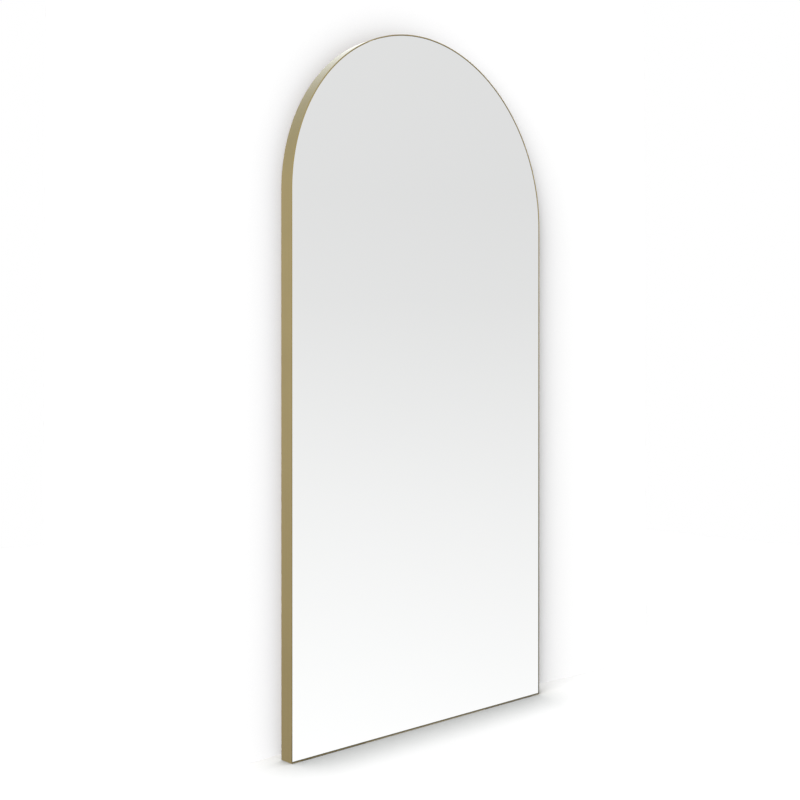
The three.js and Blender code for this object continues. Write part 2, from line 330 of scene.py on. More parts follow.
def foam_tape():
    """Pale mounting foam with fine open cells."""
    material, n = new_material("foam_tape")
    cells = n.add("ShaderNodeTexVoronoi", {"Vector": n.object_place(), "Scale": 900})
    size = cells.outputs["Distance"]
    n.surface(
        Base_Color=n.ramp(size, [(0.1, (0.60, 0.58, 0.52)), (0.7, (0.74, 0.72, 0.66))]),
        Roughness=0.9,
        Normal=n.bump(size, 0.4, 0.0003),
    )
    return material


def fibreboard():
    """Raw medium-density board: mottled brown, with fine pressed fibres and sanding marks."""
    material, n = new_material("fibreboard")
    place = n.object_place()
    fibres = n.noise(n.stretched(place, (520, 520, 190)), 1, 4, 0.65)
    flecks = n.noise(n.stretched(place, (900, 900, 900), (3, 1, 2)), 1, 2, 0.8)
    cloud = n.noise(place, 4.5, 4, 0.55)
    sanding = n.noise(n.stretched(place, (700, 700, 5), (1, 5, 1)), 1, 2, 0.5)
    tone = n.math("MULTIPLY_ADD", fibres, 0.45, n.math("MULTIPLY", flecks, 0.20))
    tone = n.math("MULTIPLY_ADD", cloud, 0.22, tone)
    tone = n.math("MULTIPLY_ADD", sanding, 0.13, tone)
    colour = n.ramp(
        tone,
        [
            (0.34, (0.238, 0.150, 0.082)),
            (0.47, (0.352, 0.236, 0.138)),
            (0.56, (0.415, 0.286, 0.172)),
            (0.68, (0.500, 0.362, 0.232)),
        ],
    )
    n.surface(
        Base_Color=colour,
        Roughness=n.spread(fibres, 0.3, 0.7, 0.86, 0.74),
        Normal=n.bump(tone, 0.35, 0.0004),
    )
    return material


def softwood(name, grain):
    """Planed pine: growth rings drawn out along the grain, a few knots and darker sawn ends."""
    material, n = new_material(name)
    place = n.object_place()
    drawn = {"X": (0.05, 1, 1), "Z": (1, 1, 0.05)}[grain]

    def drawn_noise(scale, detail, roughness, offset=(0, 0, 0)):
        vector = n.stretched(place, tuple(scale * part for part in drawn), offset)
        return n.noise(vector, 1, detail, roughness)

    cells = n.add(
        "ShaderNodeTexVoronoi",
        {"Vector": n.stretched(place, KNOT_SPACING, KNOT_PLACE), "Scale": 1},
    )
    knot = cells.outputs["Distance"]
    bent = drawn_noise(9, 2, 0.5)
    swirl = n.spread(knot, 0.04, 0.24, 0.011, 0.0, smooth=True)
    drift = n.math("MULTIPLY_ADD", bent, 0.045, swirl)
    shift = n.add(
        "ShaderNodeCombineXYZ", {"X": drift, "Y": n.math("MULTIPLY", bent, 0.03), "Z": drift}
    )
    warped = n.add(
        "ShaderNodeVectorMath", {0: n.stretched(place, drawn), 1: shift.outputs[0]}, operation="ADD"
    )
    rings = n.add(
        "ShaderNodeTexWave",
        {
            "Vector": n.stretched(warped.outputs[0], (1, 1, 1), (0.02, 0.06, 0.04)),
            "Scale": 38,
            "Distortion": 1.6,
            "Detail": 3,
            "Detail Scale": 1.4,
        },
        wave_type="RINGS",
        rings_direction=grain,
        wave_profile="SAW",
    ).outputs["Fac"]
    pores = drawn_noise(1500, 3, 0.6)
    tint = drawn_noise(14, 2, 0.5, (5, 2, 8))
    wood = n.ramp(
        rings,
        [
            (0.00, (0.640, 0.455, 0.262)),
            (0.50, (0.610, 0.425, 0.234)),
            (0.86, (0.500, 0.318, 0.156)),
            (0.95, (0.455, 0.278, 0.130)),
            (1.00, (0.600, 0.418, 0.228)),
        ],
    )
    wood = n.mix(n.spread(pores, 0.45, 0.75, 0.0, 0.35), wood, (0.36, 0.215, 0.10, 1))
    wood = n.mix(n.spread(tint, 0.35, 0.7, 0.0, 0.30), wood, (0.70, 0.52, 0.32, 1))
    heart = n.ramp(
        knot,
        [(0.0, (0.16, 0.070, 0.030)), (0.03, (0.30, 0.145, 0.060)), (0.045, (0.11, 0.05, 0.024))],
    )
    wood = n.mix(n.spread(knot, 0.042, 0.062, 1.0, 0.0, smooth=True), wood, heart)
    normal = n.parts(n.add("ShaderNodeNewGeometry").outputs["Normal"])
    end = n.math("ABSOLUTE", normal[grain])
    wood = n.mix(n.spread(end, 0.6, 0.95, 0.0, 0.55), wood, (0.30, 0.185, 0.09, 1))
    height = n.math("MULTIPLY_ADD", rings, -0.4, n.math("MULTIPLY", pores, 0.6))
    n.surface(
        Base_Color=wood,
        Roughness=n.spread(pores, 0.3, 0.7, 0.58, 0.74),
        Normal=n.bump(height, 0.30, 0.0004),
    )
    return material


def plated_steel(name, pale, deep, roughness):
    """Zinc-plated steel: a soft grey shine with faint clouds and fine handling scratches."""
    material, n = new_material(name)
    place = n.object_place()
    cloud = n.noise(place, 120, 3, 0.55)
    scratch = n.noise(n.stretched(place, (2400, 2400, 160)), 1, 3, 0.7)
    n.surface(
        Base_Color=n.ramp(cloud, [(0.35, deep), (0.65, pale)]),
        Metallic=1.0,
        Roughness=n.spread(scratch, 0.3, 0.7, roughness - 0.07, roughness + 0.09),
        Normal=n.bump(scratch, 0.10, 0.0001),
    )
    return material


def weld_steel():
    """Weld metal: dull grey with straw and blue heat tints."""
    material, n = new_material("weld_steel")
    place = n.object_place()
    heat = n.noise(place, 260, 3, 0.6)
    grain = n.noise(place, 1800, 2, 0.6)
    colour = n.ramp(
        heat, [(0.30, (0.20, 0.20, 0.22)), (0.50, (0.33, 0.30, 0.25)), (0.68, (0.22, 0.24, 0.30))]
    )
    n.surface(
        Base_Color=colour,
        Metallic=1.0,
        Roughness=n.spread(grain, 0.3, 0.7, 0.38, 0.56),
        Normal=n.bump(grain, 0.3, 0.0002),
    )
    return material


def black_rubber():
    """Matt moulded rubber with a fine grain and a little pale dust."""
    material, n = new_material("black_rubber")
    place = n.object_place()
    grain = n.noise(place, 2600, 3, 0.6)
    dust = n.noise(place, 180, 4, 0.6)
    n.surface(
        Base_Color=n.ramp(dust, [(0.45, (0.014, 0.014, 0.015)), (0.75, (0.034, 0.033, 0.032))]),
        Roughness=n.spread(grain, 0.3, 0.7, 0.62, 0.80),
        Normal=n.bump(grain, 0.25, 0.0002),
    )
    return material


# ---- Stage and light ----

STUDIO_STRENGTH = 1.05
AMBIENT_AHEAD = 0.52
AMBIENT_BEHIND = 0.95

# Each zone of the studio has levels by height: the range of the direction's Z, and its stops.
MIRRORED_RANGE = (-0.32, 0.20)
MIRRORED_LEVELS = [
    (0.00, 1.000),
    (0.12, 0.970),
    (0.25, 0.930),
    (0.42, 0.880),
    (0.60, 0.822),
    (0.78, 0.765),
    (0.96, 0.737),
]
BEHIND_RANGE = (-0.34, 0.66)
BEHIND_LEVELS = [
    (0.00, (0.660, 0.650, 0.650)),
    (0.08, (0.700, 0.692, 0.690)),
    (0.17, (0.760, 0.752, 0.750)),
    (0.26, (0.860, 0.855, 0.850)),
    (0.38, (0.935, 0.935, 0.930)),
    (0.50, (1.000, 1.000, 0.985)),
    (0.62, (0.930, 0.935, 0.930)),
    (0.77, (0.850, 0.868, 0.868)),
    (0.84, (0.800, 0.832, 0.832)),
    (1.00, (0.760, 0.806, 0.800)),
]
LEFT_RANGE = (-0.50, 0.30)
LEFT_LEVELS = [(0.00, 0.60), (0.30, 0.66), (0.55, 0.82), (0.72, 1.00), (0.88, 1.12)]

KEY_STRENGTH = 4.45
KEY_SPREAD = math.radians(48)
KEY_SOURCE = (-0.86, -0.34, 0.30)

FLOOR_REACH = 4.0
WALL_REACH = 1.9
WALL_GAP = 1 * MM
WALL_OVERLAP = 14 * MM
WALL_STEPS = 48
SHADE_SAMPLES = 6
SHADE_GREEN = 1.01


def studio_world():
    """White to the camera. Metal and mirror see a soft studio that changes with height.

    Ahead on the right, which the mirror shows, it is pale grey above and white below.
    Behind, which the band's side shows, it is brightest a little above the horizon, with more
    light high on the right. Ahead on the left, which the rounded corner between the band's front
    edge and side shows, it is greyer below. Matt surfaces see a plain white, stronger behind.
    """
    world = bpy.data.worlds.new("studio")
    world.use_nodes = True
    scene.world = world
    n = Nodes(world.node_tree)
    way = n.parts(n.add("ShaderNodeTexCoord").outputs["Generated"])

    mirrored = n.ramp(n.spread(way["Z"], *MIRRORED_RANGE), MIRRORED_LEVELS)
    sideways = n.spread(way["X"], 0.58, 0.80, 1.0, 0.975, smooth=True)
    behind = n.ramp(n.spread(way["Z"], *BEHIND_RANGE), BEHIND_LEVELS)
    right = n.math(
        "MULTIPLY", n.spread(way["X"], -0.12, 0.46), n.spread(way["Z"], 0.08, 0.32, 0.0, 0.6)
    )
    behind = n.mix(1.0, behind, n.math("ADD", right, 1.0), "MULTIPLY")
    left = n.ramp(n.spread(way["Z"], *LEFT_RANGE), LEFT_LEVELS)
    around = n.mix(n.spread(way["Y"], -0.35, 0.1, smooth=True), left, behind)
    ahead_right = n.math("MINIMUM", way["X"], n.math("MULTIPLY", way["Y"], -1.0))
    zone = n.spread(ahead_right, 0.0, 0.4, smooth=True)
    level = n.mix(zone, around, n.mix(1.0, mirrored, sideways, "MULTIPLY"))

    def light(colour, strength):
        return n.add("ShaderNodeBackground", {"Color": colour, "Strength": strength})

    white = (1, 1, 1, 1)
    rays = n.add("ShaderNodeLightPath").outputs
    ambient = n.spread(way["Y"], -0.2, 0.2, AMBIENT_AHEAD, AMBIENT_BEHIND, smooth=True)
    studio = light(level, STUDIO_STRENGTH)
    lit = n.either(rays["Is Diffuse Ray"], studio, light(white, ambient))
    shown = n.either(rays["Is Camera Ray"], lit, light(white, 1.0))
    n.add("ShaderNodeOutputWorld", {"Surface": shown.outputs[0]})


def make_key():
    """A very wide, soft light from ahead on the left, which metal and glass don't show."""
    data = bpy.data.lights.new("key", "SUN")
    data.energy = KEY_STRENGTH
    data.angle = KEY_SPREAD
    lamp = bpy.data.objects.new("key", data)
    lamp.rotation_euler = Vector(KEY_SOURCE).to_track_quat("Z", "Y").to_euler()
    lamp.visible_glossy = False
    scene.collection.objects.link(lamp)


def pale_surface(name, white, reach, darkest, cool=1.0):
    """Matt white, with painted shade close to whatever stands on it, and clear seen from behind."""
    material, n = new_material(name)
    # Painted shade: an ambient occlusion node darkens the colour close to other things, tinted a
    # little green, and blue by cool
    near = n.add("ShaderNodeAmbientOcclusion", {"Distance": reach}, samples=SHADE_SAMPLES)

    def tinted(grey):
        return grey, grey * SHADE_GREEN, grey * cool

    painted_shade = n.ramp(
        n.spread(near.outputs["AO"], 0.5, 1.0),
        [(0.0, tinted(darkest)), (0.5, tinted((1 + darkest) / 2)), (1.0, 1.0)],
    )
    colour = n.mix(1.0, (white, white, white, 1), painted_shade, "MULTIPLY")
    paint = n.add("ShaderNodeBsdfDiffuse", {"Color": colour})
    clear = n.add("ShaderNodeBsdfTransparent")
    both = n.either(n.add("ShaderNodeNewGeometry").outputs["Backfacing"], paint, clear)
    n.add("ShaderNodeOutputMaterial", {"Surface": both.outputs[0]})
    return material


def stage_object(name, vertices, faces, material):
    mesh = bpy.data.meshes.new(name)
    mesh.from_pydata(vertices, [], faces)
    mesh.materials.append(material)
    thing = bpy.data.objects.new(name, mesh)
    scene.collection.objects.link(thing)
    thing.visible_diffuse = False
    thing.visible_shadow = False
    thing.visible_glossy = False


def make_stage():
    """A floor and a wall. The wall is open behind the mirror, so that light reaches the back."""
    corners = ((-1, -1), (1, -1), (1, 1), (-1, 1))
    floor = [(x * FLOOR_REACH, y * FLOOR_REACH, 0) for x, y in corners]
    paint = pale_surface("floor", 0.90, 0.15, darkest=0.49)
    stage_object("floor", floor, [(0, 1, 2, 3)], paint)

    inner = arch_path(RADIUS - WALL_OVERLAP, WALL_OVERLAP, WALL_STEPS)
    count = len(inner)
    centre_z = SPRING_Z / 2
    outer = []
    for x, z in inner:
        way = Vector((x, z - centre_z)).normalized() * WALL_REACH
        outer.append((way.x, max(0.0, centre_z + way.y)))
    vertices = [(x, WALL_Y + WALL_GAP, z) for x, z in inner + outer]
    faces = [(i, i + 1, i + count + 1, i + count) for i in range(count - 1)]
    paint = pale_surface("wall", 0.985, 0.20, darkest=0.765, cool=1.05)
    stage_object("wall", vertices, faces, paint)


# ---- Mesh helpers ----


def arch_path(radius, foot, arch_steps):
    """Points (x, z) up the left side, over the arch and down the right side, at this radius."""
    points = [(-radius, foot)]
    for step in range(arch_steps + 1):
        angle = math.pi - math.pi * step / arch_steps
        points.append((radius * math.cos(angle), SPRING_Z + radius * math.sin(angle)))
    points.append((radius, foot))
    return points


def arc(centre, radius, start, end, steps):
    """Points round a centre, from one angle to another, in degrees."""
    points = []
    for step in range(steps + 1):
        angle = math.radians(start + (end - start) * step / steps)
        points.append(Vector(centre) + radius * Vector((math.cos(angle), math.sin(angle))))
    return points


def circle(radius, y, sides):
    """Points round the y axis, or the one point on it where the radius is 0."""
    if radius == 0:
        return [(0.0, y, 0.0)]
    angles = [2 * math.pi * step / sides for step in range(sides)]
    return [(radius * math.cos(angle), y, radius * math.sin(angle)) for angle in angles]


def skin(build, rings):
    """Faces from each ring of vertices to the next. A ring may be a single vertex."""
    made = []
    for near, far in zip(rings, rings[1:]):
        sides = max(len(near), len(far))
        for j in range(sides):
            k = j + 1
            corners = [
                near[j % len(near)],
                near[k % len(near)],
                far[k % len(far)],
                far[j % len(far)],
            ]
            made.append(build.faces.new(list(dict.fromkeys(corners))))
    return made


def mesh_from(build, name, *materials):
    bmesh.ops.recalc_face_normals(build, faces=build.faces)
    mesh = bpy.data.meshes.new(name)
    build.to_mesh(mesh)
    build.free()
    for material in materials:
        mesh.materials.append(material)
    return mesh


def smooth(mesh):
    for polygon in mesh.polygons:
        polygon.use_smooth = True


def round_mesh(name, rings, material, closed=False):
    """A smooth solid skinned over rings of points, whose last ring meets the first if closed."""
    build = bmesh.new()
    made = [[build.verts.new(spot) for spot in ring] for ring in rings]
    skin(build, made + made[:1] if closed else made)
    mesh = mesh_from(build, name, material)
    smooth(mesh)
    return mesh


def add_piece(name, mesh, body, slot, *replaced, at=None):
    """A visible piece on a body, standing in for the nodes named, placed by a matrix if given."""
    piece = bpy.data.objects.new(name, mesh)
    scene.collection.objects.link(piece)
    if at is not None:
        piece.matrix_world = at
    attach(piece, body)
    if replaced:
        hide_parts(*replaced)
    return piece


def even_normals(piece):
    """Flat faces keep flat shading, and only their rounded edges turn."""
    smooth(piece.data)
    modifier = piece.modifiers.new("even_normals", "WEIGHTED_NORMAL")
    modifier.keep_sharp = True
    modifier.weight = 100


def soften(piece, width, angle):
    """Rounds the edges that turn by more than an angle in degrees, and keeps the flats flat."""
    modifier = piece.modifiers.new("eased_edges", "BEVEL")
    modifier.width = width
    modifier.segments = 2
    modifier.limit_method = "ANGLE"
    modifier.angle_limit = math.radians(angle)
    even_normals(piece)


# ---- The band ----

FRONT_EDGE = 0.75 * MM
REAR_EDGE = 0.35 * MM
EDGE_STEPS = 5
LEG_STEPS = 12
ARCH_STEPS = 180
MITRE_HAIRLINE = 0.06 * MM


def band_section():
    """The strip's section as (inset, y) points, with rounded corners, from its front outside."""
    corners = [
        (FRONT_EDGE, FRONT_Y + FRONT_EDGE, FRONT_EDGE, math.pi),
        (STRIP - FRONT_EDGE, FRONT_Y + FRONT_EDGE, FRONT_EDGE, 1.5 * math.pi),
        (STRIP - REAR_EDGE, REAR_Y - REAR_EDGE, REAR_EDGE, 0.0),
        (REAR_EDGE, REAR_Y - REAR_EDGE, REAR_EDGE, 0.5 * math.pi),
    ]
    points = []
    for inset, y, corner, start in corners:
        for step in range(EDGE_STEPS + 1):
            angle = start + 0.5 * math.pi * step / EDGE_STEPS
            points.append((inset + corner * math.cos(angle), y + corner * math.sin(angle)))
    return points


def make_strip(name, node, section, rings, lengths, material):
    """A strip over rings of points, mapped by the way along it and the way round its section."""
    around = [0.0]
    for a, b in zip(section, section[1:] + section[:1]):
        around.append(around[-1] + math.dist(a, b))
    build = bmesh.new()
    path_map = build.loops.layers.uv.new(PATH_MAP)
    made = [[build.verts.new(spot) for spot in ring] for ring in rings]
    count = len(section)
    for i in range(len(rings) - 1):
        for j in range(count):
            k = (j + 1) % count
            face = build.faces.new([made[i][j], made[i][k], made[i + 1][k], made[i + 1][j]])
            places = [
                (lengths[i], around[j]),
                (lengths[i], around[j + 1]),
                (lengths[i + 1], around[j + 1]),
                (lengths[i + 1], around[j]),
            ]
            for loop, place in zip(face.loops, places):
                loop[path_map].uv = place
    for ring in (made[0], made[-1]):
        for loop in build.faces.new(ring).loops:
            loop[path_map].uv = (loop.vert.co.z, loop.vert.co.y)
    mesh = mesh_from(build, name, material)
    even_normals(add_piece(name, mesh, "mirror", "brushed_brass", node))


def make_band(material):
    """The strip swept up one side, over the arch and down the other, mitred at both feet."""
    leg, arch = SPRING_Z - FOOT_Z, math.pi * RADIUS
    stations = [("left", i / LEG_STEPS) for i in range(LEG_STEPS)]
    stations += [("arch", i / ARCH_STEPS) for i in range(ARCH_STEPS + 1)]
    stations += [("right", 1 - i / LEG_STEPS) for i in range(1, LEG_STEPS + 1)]

    def spot(kind, share, inset, y):
        radius = RADIUS - inset
        if kind == "arch":
            angle = math.pi * (1 - share)
            return radius * math.cos(angle), y, SPRING_Z + radius * math.sin(angle)
        foot = FOOT_Z + inset
        return (-radius if kind == "left" else radius), y, foot + share * (SPRING_Z - foot)

    def travelled(kind, share):
        if kind == "left":
            return share * leg
        if kind == "arch":
            return leg + share * arch
        return 2 * leg + arch - share * leg

    section = band_section()
    rings = [[spot(*station, *point) for point in section] for station in stations]
    lengths = [travelled(*station) for station in stations]
    make_strip("brass_band", "frame_band", section, rings, lengths, material)


def make_bottom_bar(material):
    """The straight strip between the feet, with a hairline mitre at each end."""
    section = band_section()
    reach = RADIUS - MITRE_HAIRLINE
    rings = [
        [(sign * (reach - inset), y, FOOT_Z + inset) for inset, y in section] for sign in (-1, 1)
    ]
    lengths = [0.0, 2 * RADIUS]
    make_strip("brass_bottom_bar", "frame_bottom_bar", section, rings, lengths, material)


# ---- Glass, board, timber and pads ----

ARRIS = 0.3 * MM
BOARD_EDGE = 0.5 * MM
BOARD_ANGLE = 50
TIMBER_EDGE = 1.4 * MM
CROWN_EDGE = 2.0 * MM
PAD_EDGE = 0.3 * MM


def arched_ring(build, radius, foot, y):
    return [build.verts.new((x, y, z)) for x, z in arch_path(radius, foot, ARCH_STEPS)]


def make_glass(face, edge, paint):
    """The pane, with a fine polished arris round its front edge and paint on its back."""
    radius, foot = glass_high.x, glass_low.z
    build = bmesh.new()
    face_ring = arched_ring(build, radius - ARRIS, foot + ARRIS, glass_low.y)
    edge_ring = arched_ring(build, radius, foot, glass_low.y + ARRIS)
    back_ring = arched_ring(build, radius, foot, glass_high.y)
    build.faces.new(face_ring)
    build.faces.new(back_ring[::-1]).material_index = 2
    skin(build, [face_ring, edge_ring])
    for side in skin(build, [edge_ring, back_ring]):
        side.material_index = 1
    mesh = mesh_from(build, "mirror_pane", face, edge, paint)
    add_piece("mirror_pane", mesh, "mirror", "mirror", "mirror_glass")


def make_board(material):
    """The arched fibreboard panel, its sawn edges just broken."""
    low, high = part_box("backing_board")
    build = bmesh.new()
    front = arched_ring(build, high.x, low.z, low.y)
    back = arched_ring(build, high.x, low.z, high.y)
    build.faces.new(front)
    build.faces.new(back[::-1])
    skin(build, [front, back])
    mesh = mesh_from(build, "board_panel", material)
    board = add_piece("board_panel", mesh, "mirror", "board", "backing_board")
    soften(board, BOARD_EDGE, BOARD_ANGLE)


def make_block(name, node, slot, material, edge, segments=3):
    """A sawn or moulded block in a node's place, with every edge and corner eased."""
    low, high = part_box(node)
    build = bmesh.new()
    bmesh.ops.create_cube(build, size=1)
    bmesh.ops.scale(build, vec=high - low, verts=build.verts)
    bmesh.ops.translate(build, vec=(low + high) / 2, verts=build.verts)
    bmesh.ops.bevel(
        build,
        geom=list(build.edges) + list(build.verts),
        offset=edge,
        segments=segments,
        profile=0.5,
        affect="EDGES",
    )
    even_normals(add_piece(name, mesh_from(build, name, material), "mirror", slot, node))


def dress_nodes(material, *nodes):
    """Gives nodes whose shape is right a finish of their own."""
    for name in nodes:
        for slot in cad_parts[name].material_slots:
            slot.material = material


# ---- Bent sheet: lugs, gussets and straps ----

SHEET_ANGLE = 60
SEAT_GAP = 0.3 * MM
BEND_STEPS = 8
EASE_STEPS = 6

LUG_SHEET = 1.5 * MM
LUG_BEND = 1.6 * MM
LUG_CORNER = 4 * MM
LUG_EDGE = 0.2 * MM

GUSSET_SHEET = 2.0 * MM
GUSSET_BEND = 2.2 * MM
GUSSET_CORNER = 3 * MM
GUSSET_EDGE = 0.25 * MM

STRAP_SHEET = 1.5 * MM
STRAP_CORNER = 5 * MM
STRAP_ROLL = 300  # degrees
STRAP_ROLL_STEPS = 40
STRAP_EDGE = 0.2 * MM

RING_CORNER = 2.5 * MM
RING_SIDES = 20
RING_LOOP_STEPS = 36
RING_CORNER_STEPS = 10


def straight(start, end, ease_start=0.0, ease_end=0.0):
    """Points along a line, closer together where an end's corners are to be rounded."""
    start, end = Vector(start), Vector(end)
    length = (end - start).length
    turns = [0.5 * math.pi * step / EASE_STEPS for step in range(EASE_STEPS + 1)]
    eased = [1 - math.cos(turn) for turn in turns]
    places = {0.0, length}
    if ease_start:
        places |= {ease_start * share for share in eased}
    if ease_end:
        places |= {length - ease_end * share for share in eased}
    return [start + (end - start) * (place / length) for place in sorted(places)]


def sheet_mesh(name, path, thickness, width, corners, material):
    """Sheet metal bent along a flat path of (u, v), with its width across it and rounded ends."""
    points = [path[0]]
    for point in path[1:]:
        if (point - points[-1]).length > 1e-6:
            points.append(point)
    along = [0.0]
    for a, b in zip(points, points[1:]):
        along.append(along[-1] + (b - a).length)

    def half_width(distance, corner):
        if corner <= 0 or distance >= corner:
            return width / 2
        return width / 2 - corner + math.sqrt(corner**2 - (corner - distance) ** 2)

    build = bmesh.new()
    rings = []
    for index, point in enumerate(points):
        before = points[max(index - 1, 0)]
        after = points[min(index + 1, len(points) - 1)]
        way = (after - before).normalized()
        out = Vector((-way.y, way.x)) * thickness / 2
        half = min(
            half_width(along[index], corners[0]), half_width(along[-1] - along[index], corners[1])
        )
        outer, inner = point + out, point - out
        spots = [(outer, half), (outer, -half), (inner, -half), (inner, half)]
        rings.append([build.verts.new((spot.x, spot.y, w)) for spot, w in spots])
    skin(build, rings)
    build.faces.new(rings[0])
    build.faces.new(rings[-1][::-1])
    return mesh_from(build, name, material)


def angle_path(upright, foot, thickness, bend, ease):
    """An angle's middle line. Its heel is the origin, with u along the foot and v up the leg."""
    half = thickness / 2
    reach = half + bend
    return (
        straight((half, upright), (half, reach), ease_start=ease)
        + arc((reach, reach), bend, 180, 270, BEND_STEPS)
        + straight((reach, half), (foot, half), ease_end=ease)
    )


def basis(origin, x, y):
    """The matrix that takes a piece's own x and y to these directions, square to each other."""
    matrix = Matrix((x, y, x.cross(y))).transposed().to_4x4()
    matrix.translation = origin
    return matrix


def node_middle(node):
    low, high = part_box(node)
    return (low + high) / 2


def way_in(place):
    """The direction inwards from the nearest side of the band, and how far off that side is."""
    inner = RADIUS - STRIP
    if place.z > SPRING_Z:
        offset = Vector((place.x, 0, place.z - SPRING_Z))
        return -offset.normalized(), inner - offset.length
    to_leg = inner - abs(place.x)
    to_bar = place.z - bar_high.z
    if to_bar < to_leg:
        return Vector((0, 0, 1)), to_bar
    return Vector((-math.copysign(1, place.x), 0, 0)), to_leg


def make_lugs(material):
    """Steel angles inside the band, whose feet lie on the board. Returns their weld seams."""
    low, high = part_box("fixing_lug_1")
    foot, rise, width = high.x - low.x, high.y - low.y, high.z - low.z
    path = angle_path(rise, foot, LUG_SHEET, LUG_BEND, LUG_CORNER)
    mesh = sheet_mesh("lug", path, LUG_SHEET, width, (LUG_CORNER, LUG_CORNER), material)
    seams = []
    for index in range(1, LUGS + 1):
        centre = node_middle(f"lug_screw_{index}")
        inward, reach = way_in(centre)
        heel = centre - inward * (reach - SEAT_GAP)
        heel.y = low.y
        at = basis(heel, inward, BACK)
        lug = add_piece(
            f"lug_{index}", mesh, "mirror", "zinc_steel", f"fixing_lug_{index}", at=at
        )
        soften(lug, LUG_EDGE, SHEET_ANGLE)
        for sign in (-1, 1):
            edge = heel + inward.cross(BACK) * sign * (width / 2 + WELD_OFFSET)
            seams.append((edge + BACK * WELD_START, edge + BACK * (rise - WELD_START)))
    return seams


def make_gussets(material):
    """Steel angles in the two bottom corners of the band. Returns their weld seams."""
    seams = []
    for side, sign in zip(SIDES, (-1, 1)):
        node = f"corner_gusset_{side}"
        low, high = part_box(node)
        leg, depth = high.z - low.z, high.y - low.y
        path = angle_path(leg, leg, GUSSET_SHEET, GUSSET_BEND, GUSSET_CORNER)
        ends = (GUSSET_CORNER, GUSSET_CORNER)
        mesh = sheet_mesh(f"gusset_{side}", path, GUSSET_SHEET, depth, ends, material)
        corner = Vector((low.x if sign < 0 else high.x, (low.y + high.y) / 2, low.z))
        inward = Vector((-sign, 0, 0))
        at = basis(corner, inward, UP)
        gusset = add_piece(f"gusset_{side}", mesh, "mirror", "zinc_steel", node, at=at)
        soften(gusset, GUSSET_EDGE, SHEET_ANGLE)
        rear = Vector((corner.x, high.y + WELD_OFFSET, corner.z))
        for way in (inward, UP):
            seams.append((rear + way * 2 * WELD_START, rear + way * (leg - WELD_START)))
    return seams


# ---- Welds ----

WELD_START = 3.0 * MM
WELD_RADIUS = 1.6 * MM
WELD_OFFSET = 0.3 * MM
WELD_RIPPLE = 1.1 * MM
WELD_VALLEY = 0.88  # a ripple's low radius, as a share of its high one
WELD_TAPER = 0.02  # share of a bead's length at which its end is cut off
WELD_SIDES = 12


def add_bead(build, start, end):
    """A rippled weld bead along a line, thinner towards its two ends."""
    axis = end - start
    side = axis.orthogonal().normalized()
    other = axis.normalized().cross(side)
    steps = 2 * round(axis.length / WELD_RIPPLE)
    rings = []
    for step in range(steps + 1):
        share = step / steps
        swell = math.sin(math.pi * min(max(share, WELD_TAPER), 1 - WELD_TAPER)) ** 0.3
        radius = WELD_RADIUS * swell * (1.0 if step % 2 else WELD_VALLEY)
        middle = start + axis * share
        spots = [middle + side * u + other * v for u, _, v in circle(radius, 0, WELD_SIDES)]
        rings.append([build.verts.new(spot) for spot in spots])
    skin(build, rings)
    build.faces.new(rings[0])
    build.faces.new(rings[-1][::-1])


def make_welds(seams, material):
    """The weld beads that hold the lugs and gussets to the band, as one piece."""
    build = bmesh.new()
    for start, end in seams:
        add_bead(build, start, end)
    mesh = mesh_from(build, "weld_beads", material)
    smooth(mesh)
    add_piece("weld_beads", mesh, "mirror", "zinc_steel")


# ---- Hangers ----


def make_hangers(material):
    """Straps rolled round the straight bar of a wire D-ring, and the rings themselves."""
    for side in SIDES:
        node = f"hanger_strap_{side}"
        low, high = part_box(node)
        knuckle = (high.y - low.y) / 2
        pivot = Vector(((low.x + high.x) / 2, (low.y + high.y) / 2, high.z - knuckle))
        length = pivot.z - low.z
        line = knuckle - STRAP_SHEET / 2
        path = straight((-line, -length), (-line, 0), ease_start=STRAP_CORNER)
        path += arc((0, 0), line, 180, 180 - STRAP_ROLL, STRAP_ROLL_STEPS)
        ends = (STRAP_CORNER, 0)
        mesh = sheet_mesh(f"strap_{side}", path, STRAP_SHEET, high.x - low.x, ends, material)
        at = basis(pivot, BACK, UP)
        strap = add_piece(f"strap_{side}", mesh, "mirror", "zinc_steel", node, at=at)
        soften(strap, STRAP_EDGE, SHEET_ANGLE)
        make_ring(side, pivot, material)


def make_ring(side, pivot, material):
    """A round wire bent into a D, whose straight bar runs through the strap's knuckle."""
    node, body = f"d_ring_{side}", f"ring_{side}"
    low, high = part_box(node)
    wire = (high.y - low.y) / 2
    loop = (high.x - low.x) / 2 - wire
    drop = high.z - low.z - 2 * wire - loop
    corner = loop - RING_CORNER
    line = arc((0, -drop), loop, 180, 360, RING_LOOP_STEPS)
    line += arc((corner, -RING_CORNER), RING_CORNER, 0, 90, RING_CORNER_STEPS)
    line += arc((-corner, -RING_CORNER), RING_CORNER, 90, 180, RING_CORNER_STEPS)
    rings = []
    for index, point in enumerate(line):
        way = (line[(index + 1) % len(line)] - line[index - 1]).normalized()
        out = Vector((way.y, -way.x))
        ring = []
        for u, _, v in circle(wire, 0, RING_SIDES):
            spot = point + out * u
            ring.append((spot.x, v, spot.y))
        rings.append(ring)
    mesh = round_mesh(body, rings, material, closed=True)
    add_piece(body, mesh, body, "zinc_steel", node, at=Matrix.Translation(pivot))


# ---- Screws and bumpers ----

